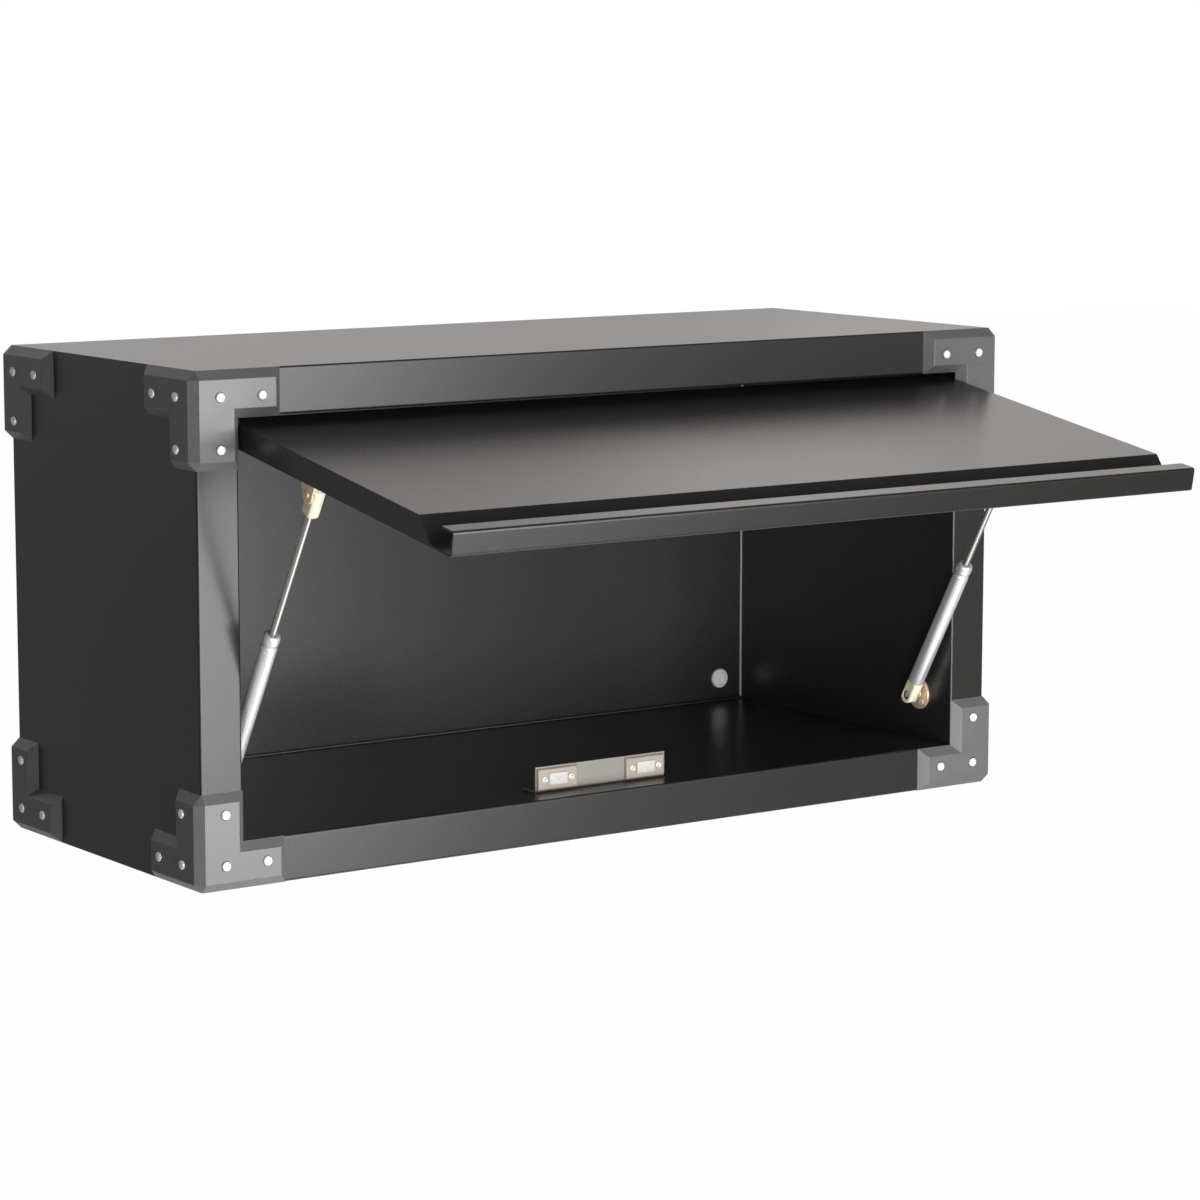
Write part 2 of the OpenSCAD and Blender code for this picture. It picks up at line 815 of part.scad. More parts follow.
// Disc on the side wall with its neck and ball
module strut_disc(side) {
    face = -strut_inset + disc_t;
    color(zinc_gold) place() on_side(side)
        translate([-strut_x, strut_low[0], strut_low[1]])
            difference() {
                union() {
                    bar_x(-strut_inset, face - disc_edge, disc_d);
                    translate([face - disc_edge, 0, 0])
                        rotate([0, 90, 0])
                            cylinder(h = disc_edge, d1 = disc_d, d2 = disc_d - 2 * disc_edge, $fn = round_fn);
                    bar_x(face, face + collar_t, collar_d);
                    bar_x(face, 0, neck_d);
                    sphere(d = ball_d, $fn = round_fn);
                }
                at_disc_screws()
                    bar_x(-strut_inset - cut, face + cut, screw_shank_d);
            }
}

// The disc's pan-head screws, with crossed slots
module disc_screws(side) {
    face = -strut_inset + disc_t;
    color(bright_steel) place() on_side(side)
        translate([-strut_x, strut_low[0], strut_low[1]])
            at_disc_screws() {
                bar_x(face - screw_len, face, screw_shank_d);
                difference() {
                    bar_x(face, face + screw_head_h, screw_head_d);
                    for (a = [0, 90])
                        rotate([a, 0, 0])
                            translate([face + screw_head_h - screw_slot_depth,
                                -screw_slot_w / 2, -screw_slot_len / 2])
                                cube([screw_slot_depth + cut, screw_slot_w, screw_slot_len]);
                }
            }
}

// Plastic socket round a ball at its pivot, with a bore for the stud of the tube or rod. Its
// two sides are flat and its end is round. The ball goes in from -X, and a lip stops it at +X.
module socket_shape(dir, length) {
    flat = socket_flats / 2;
    difference() {
        intersection() {
            cylinder_between(-dir * socket_end_r, dir * length, socket_d);
            along_x(-flat, flat)
                union() {
                    circle(r = socket_end_r, $fn = round_fn);
                    translate([-socket_end_r, min(0, dir * length)])
                        square([2 * socket_end_r, length]);
                }
        }
        bar_x(-flat - cut, flat - socket_lip_t, ball_d + 2 * ball_gap);
        bar_x(-flat - cut, flat + cut, socket_lip_d);
        cylinder_between(dir * stud_start, dir * (length + cut), stud_d);
    }
}

// A round bar along Z between two heights, in either order
module cylinder_between(z0, z1, d) {
    translate([0, 0, min(z0, z1)])
        cylinder(h = abs(z1 - z0), d = d, $fn = round_fn);
}

module lower_socket(side) {
    color(ivory) place() on_side(side) in_strut() socket_shape(1, low_socket_len);
}

module upper_socket(side) {
    color(ivory) place() on_side(side) in_strut()
        translate([0, 0, strut_len]) socket_shape(-1, high_socket_len);
}

// Tube: a cup with a rolled groove and a rounded rim, and a stud into the lower socket
module strut_tube(side) {
    r = tube_d / 2;
    groove = tube_top - groove_from_top;
    rim = [for (i = [0 : bend_flats]) let (a = 90 * i / bend_flats)
        [r - tube_round + tube_round * cos(a), tube_top - tube_round + tube_round * sin(a)]];
    color(bright_steel) place() on_side(side) in_strut()
        rotate_extrude($fn = round_fn)
            polygon(concat([[0, stud_start], [stud_d / 2, stud_start], [stud_d / 2, low_socket_len],
                [r, low_socket_len], [r, groove - groove_w], [r - groove_depth, groove - groove_w / 2],
                [r - groove_depth, groove + groove_w / 2], [r, groove + groove_w]], rim,
                [[guide_neck_d / 2, tube_top], [guide_neck_d / 2, tube_top - guide_step],
                [r - tube_wall, tube_top - guide_step], [r - tube_wall, tube_floor], [0, tube_floor]]));
}

// Guide: a stepped ring in the tube's mouth that the rod slides through
module strut_guide(side) {
    color(dark_grey) place() on_side(side) in_strut()
        rotate_extrude($fn = round_fn)
            polygon([[rod_d / 2 + fit_gap, tube_top - guide_len],
                [tube_d / 2 - tube_wall, tube_top - guide_len],
                [tube_d / 2 - tube_wall, tube_top - guide_step],
                [guide_neck_d / 2, tube_top - guide_step], [guide_neck_d / 2, tube_top],
                [rod_d / 2 + fit_gap, tube_top]]);
}

// Rod with the piston at its inner end, out to the upper socket
module strut_rod(side) {
    color(bright_steel) place() on_side(side) in_strut() {
        cylinder_between(rod_end, rod_end + piston_len, piston_d);
        cylinder_between(rod_end + piston_len, strut_len - stud_start, rod_d);
    }
}

// Ball and neck at the upper pivot, which stops just short of the bracket
module ball_stud(side) {
    color(bright_steel) place() on_side(side) in_strut()
        translate([0, 0, strut_len]) {
            sphere(d = ball_d, $fn = round_fn);
            bar_x(strut_x - bracket_x + open_pivot_gap, 0, neck_d);
        }
}

top_box();
bottom_box();
side_box(-1);  // left_box
side_box(1);  // right_box
back_panel();
rear_floor_strip();
rear_corner_beads();
corner_cap(-1, -1, -1);  // cap_front_left_low
corner_cap(-1, -1, 1);  // cap_front_left_top
corner_cap(1, -1, -1);  // cap_front_right_low
corner_cap(1, -1, 1);  // cap_front_right_top
corner_cap(-1, 1, -1);  // cap_rear_left_low
corner_cap(-1, 1, 1);  // cap_rear_left_top
corner_cap(1, 1, -1);  // cap_rear_right_low
corner_cap(1, 1, 1);  // cap_rear_right_top
corner_rivets(-1, -1, -1);  // rivets_front_left_low
corner_rivets(-1, -1, 1);  // rivets_front_left_top
corner_rivets(1, -1, -1);  // rivets_front_right_low
corner_rivets(1, -1, 1);  // rivets_front_right_top
corner_rivets(-1, 1, -1);  // rivets_rear_left_low
corner_rivets(-1, 1, 1);  // rivets_rear_left_top
corner_rivets(1, 1, -1);  // rivets_rear_right_low
corner_rivets(1, 1, 1);  // rivets_rear_right_top
wall_bush(-1);  // wall_bush_left
wall_bush(1);  // wall_bush_right
hole_plug(-1);  // hole_plug_left
hole_plug(1);  // hole_plug_right
hinge_pin(-1);  // hinge_pin_left
hinge_pin(1);  // hinge_pin_right
catch_bracket();
magnet_holder(-1);  // magnet_holder_left
magnet_holder(1);  // magnet_holder_right
magnet(-1);  // magnet_left
magnet(1);  // magnet_right
catch_screws();
strut_disc(-1);  // strut_disc_left
strut_disc(1);  // strut_disc_right
disc_screws(-1);  // disc_screws_left
disc_screws(1);  // disc_screws_right
door_skin();
door_liner();
hinge_bush(-1);  // hinge_bush_left
hinge_bush(1);  // hinge_bush_right
strut_bracket(-1);  // strut_bracket_left
strut_bracket(1);  // strut_bracket_right
strut_tube(-1);  // strut_tube_left
strut_tube(1);  // strut_tube_right
strut_guide(-1);  // strut_guide_left
strut_guide(1);  // strut_guide_right
lower_socket(-1);  // lower_socket_left
lower_socket(1);  // lower_socket_right
strut_rod(-1);  // strut_rod_left
strut_rod(1);  // strut_rod_right
upper_socket(-1);  // upper_socket_left
upper_socket(1);  // upper_socket_right
ball_stud(-1);  // ball_stud_left
ball_stud(1);  // ball_stud_right
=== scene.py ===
"""Looks of a wall cabinet with a lift-up door, two gas struts and riveted corner caps.

Lengths are written in millimetres in the cabinet's corner frame, as in the part's source (x = 0 is
the middle, y = 0 the front face and z = 0 the underside), and row() turns them into metres on the
wall plane. A profile is a list of (radius, distance along the axis).
"""

import json
import math

import bmesh
import bpy
import numpy as np
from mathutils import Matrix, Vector

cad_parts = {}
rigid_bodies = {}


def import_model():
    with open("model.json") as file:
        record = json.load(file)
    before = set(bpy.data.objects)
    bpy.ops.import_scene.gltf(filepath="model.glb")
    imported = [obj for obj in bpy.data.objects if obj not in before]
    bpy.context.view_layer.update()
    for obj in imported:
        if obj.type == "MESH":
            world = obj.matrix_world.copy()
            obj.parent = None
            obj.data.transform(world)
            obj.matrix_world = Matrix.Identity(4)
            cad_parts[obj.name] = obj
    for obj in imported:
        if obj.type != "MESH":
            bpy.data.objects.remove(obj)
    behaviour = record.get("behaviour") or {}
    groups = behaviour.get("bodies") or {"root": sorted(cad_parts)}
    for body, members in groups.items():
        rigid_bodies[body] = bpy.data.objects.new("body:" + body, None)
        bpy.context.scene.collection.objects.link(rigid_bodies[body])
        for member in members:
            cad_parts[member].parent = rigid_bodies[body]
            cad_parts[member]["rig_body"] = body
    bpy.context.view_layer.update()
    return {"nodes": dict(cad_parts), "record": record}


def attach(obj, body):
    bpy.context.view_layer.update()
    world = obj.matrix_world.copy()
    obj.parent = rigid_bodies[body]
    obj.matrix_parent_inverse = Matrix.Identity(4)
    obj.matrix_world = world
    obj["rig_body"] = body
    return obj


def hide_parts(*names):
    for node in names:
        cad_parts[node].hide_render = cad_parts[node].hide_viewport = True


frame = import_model()

# Sizes, in millimetres

# Body, its caps, and the row's origin between the upper wall screws
HALF_W, BODY_H, BODY_D, SHEET = 340.0, 347.0, 263.0, 1.2
FRAME_W = 31.8
INNER_X = HALF_W - FRAME_W
BACK_Y = BODY_D - SHEET
FLOOR_Z, CEILING_Z = FRAME_W, BODY_H - FRAME_W
CAP_T = 6.3
WALL_Y, WALL_HOLE_Z = 269.3, 297.5
ROW_ORIGIN = np.array([0.0, WALL_Y, WALL_HOLE_Z])

# A rivet's distance from the corner along the edge and up, the steps to the two others, and the
# radius within which all points of its bore lie
RIVET_EDGE, RIVET_LEVEL = 14.9, 17.6
RIVET_STEP_LEVEL, RIVET_STEP_UP = 31.6, 34.6
BORE_REACH = 1.7

# Struts: the lower pivot's place (y, z), the lengths between pivots, and sizes of the pieces
STRUT_INSET = 9.2
STRUT_X = INNER_X - STRUT_INSET
STRUT_LOW = (36.5, 66.4)
STRUT_LEN, STRUT_LEN_CLOSED = 237.384, 140.721
STRUT_LEAN = math.radians(30.117)
LOW_SOCKET, HIGH_SOCKET, TUBE_TOP_GAP = 12.2, 15.6, 1.0
TUBE_R, TUBE_FLOOR_T, STUD_R, STUD_START = 6.0, 1.2, 2.5, 6.0
TUBE_TOP = STRUT_LEN_CLOSED - HIGH_SOCKET - TUBE_TOP_GAP
GROOVE = TUBE_TOP - 8.5
ROD_R, PISTON_R, PISTON_LEN, PISTON_GAP = 2.5, 4.9, 5.0, 0.8
ROD_START = STRUT_LEN - STRUT_LEN_CLOSED + LOW_SOCKET + TUBE_FLOOR_T + PISTON_GAP
BALL_R, NECK_R, NECK_END = 4.0, 2.2, -3.4
DISC_R, DISC_T = 12.0, 2.0

# Tongue under the door: its inner face lies past the door's gap, its sheet and the tongue itself
DOOR_GAP, DOOR_SHEET, BRACKET_T = 0.8, 1.6, 1.8
BRACKET_X = INNER_X - DOOR_GAP - DOOR_SHEET - BRACKET_T
OPEN_PIVOT_GAP = 0.3

# Catch
CATCH_W, CATCH_H, HOLDER_W, HOLDER_INSET = 113.0, 18.4, 34.3, 1.0
HOLDER_X = CATCH_W / 2 - HOLDER_INSET - HOLDER_W / 2
HOLDER_Y = 21.4
HOLDER_SCREW_STEP = 22.9
CATCH_MID_Z = FLOOR_Z + CATCH_H / 2

# Plugs and wall bushes
WALL_HOLE_INSET, WALL_HOLE_RISE = 22.2, 17.7
PLUG_X = INNER_X - WALL_HOLE_INSET
PLUG_LOW_Z, PLUG_TOP_Z = FLOOR_Z + WALL_HOLE_RISE, CEILING_Z - WALL_HOLE_RISE

SIDES = {"left": -1, "right": 1}
FORWARD = (0, -1, 0)


def row(points):
    """Corner frame in millimetres to row frame in metres: less the origin, divided by 1000."""
    return (np.asarray(points, float) - ROW_ORIGIN) / 1000.0


def corner_frame(points):
    """Row frame in metres to corner frame in millimetres: times 1000, plus the origin."""
    return points * 1000 + ROW_ORIGIN


# Materials

# Paint: strength of the clouds and specks in the tone, and how far the roughness follows
CLOUD, SPECK, SHEEN_CHANGE = 0.06, 0.02, 0.04


def emptied(owner):
    """The node tree of a material or world, with nothing in it."""
    owner.use_nodes = True
    owner.node_tree.nodes.clear()
    return owner.node_tree


def finish(name, roughness, metallic=0.0):
    """A new Principled material; every uniform number is set on the shader's own socket."""
    material = bpy.data.materials.new(name)
    tree = emptied(material)
    out = tree.nodes.new("ShaderNodeOutputMaterial")
    shader = tree.nodes.new("ShaderNodeBsdfPrincipled")
    tree.links.new(shader.outputs["BSDF"], out.inputs["Surface"])
    shader.inputs["Roughness"].default_value = roughness
    shader.inputs["Metallic"].default_value = metallic
    return material, tree, shader


def place_of(tree, scale=(1, 1, 1), lean=0.0):
    """Object coordinates for a pattern: turned about X by the lean, so that a leaning axis stands
    along Z, and then scaled."""
    where = tree.nodes.new("ShaderNodeTexCoord").outputs["Object"]
    for label, value in (("Rotation", (-lean, 0, 0)), ("Scale", scale)):
        mapping = tree.nodes.new("ShaderNodeMapping")
        mapping.inputs[label].default_value = value
        tree.links.new(where, mapping.inputs["Vector"])
        where = mapping.outputs["Vector"]
    return where


def noise(tree, where, scale, detail=3.0, roughness=0.55):
    """Noise of the given scale per metre."""
    node = tree.nodes.new("ShaderNodeTexNoise")
    node.inputs["Scale"].default_value = scale
    node.inputs["Detail"].default_value = detail
    node.inputs["Roughness"].default_value = roughness
    tree.links.new(where, node.inputs["Vector"])
    return node.outputs["Fac"]


def spread(tree, value, low, high, at=(0.3, 0.7)):
    """A value carried from one range to another, clamped."""
    node = tree.nodes.new("ShaderNodeMapRange")
    node.inputs["From Min"].default_value, node.inputs["From Max"].default_value = at
    node.inputs["To Min"].default_value, node.inputs["To Max"].default_value = low, high
    tree.links.new(value, node.inputs["Value"])
    return node.outputs["Result"]


def blend(tree, value, *stops):
    """A noise value as a colour between the stops, each (position, colour)."""
    ramp = tree.nodes.new("ShaderNodeValToRGB")
    elements = ramp.color_ramp.elements
    while len(elements) < len(stops):
        elements.new(0.5)
    for element, (position, colour) in zip(elements, stops):
        element.position = position
        element.color = (*colour, 1.0)
    tree.links.new(value, ramp.inputs["Fac"])
    return ramp.outputs["Color"]


def mixed(tree, factor, a, b, kind="MIX"):
    """Two colours mixed or multiplied; a number or a colour is set, and a socket is linked."""
    node = tree.nodes.new("ShaderNodeMix")
    node.data_type = "RGBA"
    node.blend_type = kind
    sockets = node.inputs["Factor"], node.inputs[6], node.inputs[7]
    for socket, value in zip(sockets, (factor, a, b)):
        if isinstance(value, (int, float)):
            socket.default_value = value
        elif isinstance(value, tuple):
            socket.default_value = (*value, 1.0)
        else:
            tree.links.new(value, socket)
    return node.outputs[2]


def relief(tree, shader, height, depth_mm):
    """Bumps of the given depth from a noise value."""
    node = tree.nodes.new("ShaderNodeBump")
    node.inputs["Strength"].default_value = 1.0
    node.inputs["Distance"].default_value = depth_mm / 1000
    tree.links.new(height, node.inputs["Height"])
    tree.links.new(node.outputs["Normal"], shader.inputs["Normal"])


def srgb(code):
    """A colour written as six hex digits, in linear light."""
    value = np.array([int(code[i:i + 2], 16) for i in (0, 2, 4)]) / 255
    return tuple(np.where(value <= 0.04045, value / 12.92, ((value + 0.055) / 1.055) ** 2.4))


def shade(colour, factor):
    """A colour times a factor."""
    return tuple(c * factor for c in colour)


def grey(level):
    """A neutral colour of one level."""
    return (level,) * 3


def enamel(name, code, roughness, peel_mm, peel_depth):
    """Sprayed and baked paint: faint clouds in the tone, fine specks that also change the
    roughness, and orange peel of the given width and depth."""
    material, tree, shader = finish(name, roughness)
    colour = srgb(code)
    where = place_of(tree)
    clouds = noise(tree, where, 7.0, 2.0, 0.4)
    specks = noise(tree, where, 1400.0, 2.0, 0.7)
    tone = blend(tree, clouds, (0.0, shade(colour, 1 - CLOUD)), (1.0, shade(colour, 1 + CLOUD)))
    grain = blend(tree, specks, (0.35, grey(1 - SPECK)), (0.65, grey(1.0)))
    tree.links.new(mixed(tree, 1.0, tone, grain, "MULTIPLY"), shader.inputs["Base Color"])
    sheen = spread(tree, specks, roughness * (1 - SHEEN_CHANGE), roughness * (1 + SHEEN_CHANGE))
    tree.links.new(sheen, shader.inputs["Roughness"])
    peel = noise(tree, where, 1000.0 / peel_mm, 2.0, 0.4)
    relief(tree, shader, peel, peel_depth)
    return material


def moulded(name, code, roughness, grain_mm, depth, subsurface=0.0):
    """Moulded plastic: a fine eroded grain, slight flow marks and an uneven sheen."""
    material, tree, shader = finish(name, roughness)
    colour = srgb(code)
    if subsurface:
        shader.inputs["Subsurface Weight"].default_value = subsurface
        shader.inputs["Subsurface Radius"].default_value = (0.003, 0.0025, 0.002)
        shader.inputs["Subsurface Scale"].default_value = 1.0
    flow = noise(tree, place_of(tree, (1, 1, 2.4)), 34.0)
    grain = noise(tree, place_of(tree), 1000.0 / grain_mm, 2.0, 0.6)
    tone = blend(tree, flow, (0.3, shade(colour, 0.955)), (0.7, shade(colour, 1.04)))
    fleck = blend(tree, grain, (0.3, grey(0.94)), (0.7, grey(1.0)))
    tree.links.new(mixed(tree, 1.0, tone, fleck, "MULTIPLY"), shader.inputs["Base Color"])
    sheen = spread(tree, flow, roughness * 0.88, roughness * 1.12)
    tree.links.new(sheen, shader.inputs["Roughness"])
    relief(tree, shader, grain, depth)
    return material


def metal(name, code, roughness, line_scale, metallic, depth=0.004, lines=(1, 1, 1), lean=0.0,
          second=None, patch_scale=60.0, seat=None):
    """Bare or plated metal: drawn or brushed lines along the axis with the small scale, patches
    of a second tone, and a roughness that follows the lines. seat is the colour of painted
    shade, a dark ring where a head meets what it is set in."""
    material, tree, shader = finish(name, roughness, metallic)
    colour = srgb(code)
    patch_colour = srgb(second) if second else shade(colour, 0.94)
    strokes = noise(tree, place_of(tree, lines, lean), line_scale, 3.0, 0.6)
    patches = noise(tree, place_of(tree), patch_scale)
    tone = blend(tree, patches, (0.32, colour), (0.68, patch_colour))
    stroke_tone = blend(tree, strokes, (0.3, grey(0.94)), (0.7, grey(1.0)))
    colour_out = mixed(tree, 1.0, tone, stroke_tone, "MULTIPLY")
    # Painted shade: a dark ring where a head meets what it is set in
    if seat:
        mark = tree.nodes.new("ShaderNodeAttribute")
        mark.attribute_name = "seat"
        colour_out = mixed(tree, mark.outputs["Fac"], colour_out, srgb(seat))
    tree.links.new(colour_out, shader.inputs["Base Color"])
    sheen = spread(tree, strokes, roughness * 0.75, roughness * 1.3)
    tree.links.new(sheen, shader.inputs["Roughness"])
    relief(tree, shader, strokes, depth)
    return material


def ceramic(name):
    """Sintered magnet: pale grey with coarse dark grains and a dull face."""
    material, tree, shader = finish(name, 0.5)
    where = place_of(tree)
    grains = noise(tree, where, 1500.0, 4.0, 0.7)
    stains = noise(tree, where, 150.0)
    tone = blend(tree, grains, (0.3, srgb("9c9b99")), (0.55, srgb("c4c3c0")),
                 (0.8, srgb("cecdcb")))
    dull = blend(tree, stains, (0.3, grey(0.86)), (0.7, grey(1.0)))
    tree.links.new(mixed(tree, 1.0, tone, dull, "MULTIPLY"), shader.inputs["Base Color"])
    tree.links.new(spread(tree, stains, 0.4, 0.6), shader.inputs["Roughness"])
    relief(tree, shader, grains, 0.02)
    return material


# Paints: colour, roughness, width and depth of the orange peel
PAINTS = {
    "shell_paint": ("232221", 0.28, 1.6, 0.0008),
    "strip_paint": ("1c1c1c", 0.36, 1.0, 0.004),
    "door_paint": ("1d1c1b", 0.28, 1.4, 0.0008),
    "liner_paint": ("3c3a38", 0.4, 1.2, 0.004),
}

# Plastics: colour, roughness, width and depth of the grain, and light let into the surface
PLASTICS = {
    "cap_plastic": ("666565", 0.3, 0.6, 0.002),
    # bead_plastic's pale tone is painted highlight, the bright line of light in the inside's rear
    # corners
    "bead_plastic": ("b4b2ae", 0.45, 0.8, 0.01),
    "plug_plastic": ("e8e6e3", 0.42, 0.5, 0.006),
    "bush_plastic": ("b9b7b2", 0.45, 0.5, 0.006),
    "guide_plastic": ("8c8c8e", 0.4, 0.4, 0.006),
    "socket_nylon": ("ece9d2", 0.38, 0.5, 0.006, 0.15),
}

# Metals: colour, roughness, scale of the lines, share of metal, and what else differs
DRAWN = {"depth": 0.0005, "lines": (1, 1, 0.02), "lean": STRUT_LEAN}
METALS = {
    # rivet_metal's seat colour is painted shade, a dark ring round each head
    "rivet_metal": ("ffffff", 0.25, 500.0, 0.15, {"depth": 0.001, "seat": "0c0c0c"}),
    "pin_steel": ("b9b8b6", 0.3, 700.0, 1.0, {}),
    "catch_nickel": ("86827d", 0.5, 1200.0, 0.4, {"depth": 0.001, "lines": (1, 1, 0.05)}),
    "holder_plate": ("9e9388", 0.45, 900.0, 0.3, {"depth": 0.001, "lines": (0.06, 1, 1)}),
    "screw_steel": ("d6d4d2", 0.3, 800.0, 0.4, {}),
    "zinc_gold": ("f4dfb6", 0.3, 700.0, 0.5, {"second": "f0d2b6", "patch_scale": 90.0}),
    "stud_steel": ("f6f6f6", 0.25, 900.0, 0.4, {}),
    "tube_aluminium": ("e8e9ea", 0.32, 1500.0, 0.66, DRAWN),
    "rod_chrome": ("b5b2ae", 0.22, 1500.0, 0.85, DRAWN),
}

FINISHES = {name: enamel(name, *values) for name, values in PAINTS.items()}
FINISHES.update({name: moulded(name, *values) for name, values in PLASTICS.items()})
FINISHES.update({name: metal(name, *values, **more) for name, (*values, more) in METALS.items()})
FINISHES["magnet_ceramic"] = ceramic("magnet_ceramic")

# Every node gets the finish of its own slot
for part in frame["record"]["subparts"]:
    node_mesh = frame["nodes"][part["node"]].data
    node_mesh.materials.clear()
    node_mesh.materials.append(FINISHES[part["material_slot"]])

# Meshes

# Steps round each kind of turned part
RIVET_TURNS, PLUG_TURNS, TUBE_TURNS, ROD_TURNS = 40, 64, 96, 64
DISC_TURNS, STUD_TURNS, SCREW_TURNS = 72, 48, 32

# Points that are closer than this, in metres, are one: in a turned part, and in a node's copy
SAME_TURNED, SAME_COPIED = 1e-6, 1e-5

# Faces within the first angle make one flat face, and a bevel rounds edges past the second
FLAT_ANGLE, EDGE_ANGLE = math.radians(1.0), math.radians(25)

# A rounded corner takes at most this share of the stretches beside it
CORNER_SHARE = 0.48

# A cap's edges are rounded only where both ends stand this far outside the body and the edge is
# this long, in millimetres. The slanted strip at the upright edge is what lies further out than
# its limit both beside the body and before or behind it.
RAISED, SHORTEST_EDGE, STRIP_LIMIT = 5.5, 2.0, -2.0


def shown(name, mesh, body, slot, node):
    """Puts a mesh into the scene with the finish of its slot, on a body, in place of a node."""
    mesh.materials.clear()
    mesh.materials.append(FINISHES[slot])
    piece = bpy.data.objects.new(name, mesh)
    bpy.context.scene.collection.objects.link(piece)
    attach(piece, body)
    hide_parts(node)
    return piece


def put(name, parts, body, slot, node, seat=None):
    """Joins turned parts, each (points, faces), into one smooth mesh, with its seams and poles
    closed. seat is 1 at the points painted with shade, where a head meets what it is set in."""
    verts, faces, start = [], [], 0
    for points, quads in parts:
        verts.append(points)
        faces.extend((quads + start).tolist())
        start += len(points)
    mesh = bpy.data.meshes.new(name)
    mesh.from_pydata(row(np.concatenate(verts)).tolist(), [], faces)
    if seat is not None:
        mark = mesh.attributes.new("seat", "FLOAT", "POINT")
        mark.data.foreach_set("value", np.asarray(seat, np.float32))
    bm = bmesh.new()
    bm.from_mesh(mesh)
    bmesh.ops.remove_doubles(bm, verts=bm.verts, dist=SAME_TURNED)
    bmesh.ops.recalc_face_normals(bm, faces=bm.faces)
    bm.to_mesh(mesh)
    bm.free()
    mesh.polygons.foreach_set("use_smooth", np.full(len(mesh.polygons), True))
    shown(name, mesh, body, slot, node)


def frame_of(axis):
    """The axis as a unit vector, and two unit vectors square to it and to each other."""
    axis = np.asarray(axis, float) / np.linalg.norm(axis)
    side = np.cross(axis, [1.0, 0.0, 0.0] if abs(axis[0]) < 0.9 else [0.0, 0.0, 1.0])
    side /= np.linalg.norm(side)
    return axis, side, np.cross(axis, side)


def lathe(profile, centre, axis, around):
    """Surface of revolution, in the corner frame: the point at profile step i and turn j is
    centre + out_i * axis + r_i * (cos t_j * side + sin t_j * up), with t_j = 2 pi j / around."""
    axis, side, up = frame_of(axis)
    r, out = np.asarray(profile, float).T
    t = np.linspace(0.0, 2 * np.pi, around, endpoint=False)
    ring = np.cos(t)[:, None] * side + np.sin(t)[:, None] * up
    along = np.asarray(centre, float) + out[:, None, None] * axis
    points = along + r[:, None, None] * ring[None]
    i, j = np.meshgrid(np.arange(len(r) - 1), np.arange(around), indexing="ij")
    k = (j + 1) % around
    here, further = i * around, (i + 1) * around
    quads = np.stack([here + j, here + k, further + k, further + j], -1)
    return points.reshape(-1, 3), quads.reshape(-1, 4)


def rounded(corners, radius, steps=4):
    """A profile whose inner corners are rounded: each corner becomes a quadratic arc between the
    points at the radius before and after it, (1-s)^2 p + 2 s (1-s) b + s^2 q."""
    corners = [np.asarray(c, float) for c in corners]
    out = [corners[0]]
    s = np.linspace(0, 1, steps + 1)[:, None]
    for a, b, c in zip(corners, corners[1:], corners[2:]):
        before, after = a - b, c - b
        cut = min(radius, CORNER_SHARE * np.linalg.norm(before),
                  CORNER_SHARE * np.linalg.norm(after))
        p = b + before / np.linalg.norm(before) * cut
        q = b + after / np.linalg.norm(after) * cut
        out.extend((1 - s) ** 2 * p + 2 * s * (1 - s) * b + s ** 2 * q)
    out.append(corners[-1])
    return np.array(out)


def weigh_raised_edges(mesh):
    """Marks the edges of a cap that the bevel rounds: those round its flat outer faces, but not
    those round the slanted strip at the body's upright edge. A point's reach is the larger of its
    distances outside the side and the front or back face."""
    points = np.empty(len(mesh.vertices) * 3)
    mesh.vertices.foreach_get("co", points)
    ends = np.empty(len(mesh.edges) * 2, int)
    mesh.edges.foreach_get("vertices", ends)
    ends = ends.reshape(-1, 2)
    points = corner_frame(points.reshape(-1, 3))
    x, y, _ = points.T
    beside, before = np.abs(x) - HALF_W, np.maximum(-y, y - BODY_D)
    reach = np.maximum(beside, before)[ends]
    strip = (np.minimum(beside, before) > STRIP_LIMIT)[ends]
    length = np.linalg.norm(np.diff(points[ends], axis=1)[:, 0], axis=1)
    raised = (reach.min(1) > RAISED) & (length > SHORTEST_EDGE) & ~strip.all(1)
    weight = mesh.attributes.new("bevel_weight_edge", "FLOAT", "EDGE")
    weight.data.foreach_set("value", raised.astype(np.float32))


def close_bores(bm, bores):
    """Takes the rivets' bores out of a cap's copy and fills the holes flat, under the heads. Each
    bore is (centre in the corner frame, number of its axis), and its points lie within reach."""
    bm.verts.ensure_lookup_table()
    points = corner_frame(np.array([v.co for v in bm.verts]))
    inside = np.zeros(len(points), bool)
    for centre, axis in bores:
        square = [i for i in range(3) if i != axis]
        inside |= np.linalg.norm((points - centre)[:, square], axis=1) < BORE_REACH
    walls = [f for f in bm.faces if all(inside[v.index] for v in f.verts)]
    bmesh.ops.delete(bm, geom=walls, context="FACES_ONLY")
    bmesh.ops.holes_fill(bm, edges=[e for e in bm.edges if e.is_boundary], sides=0)


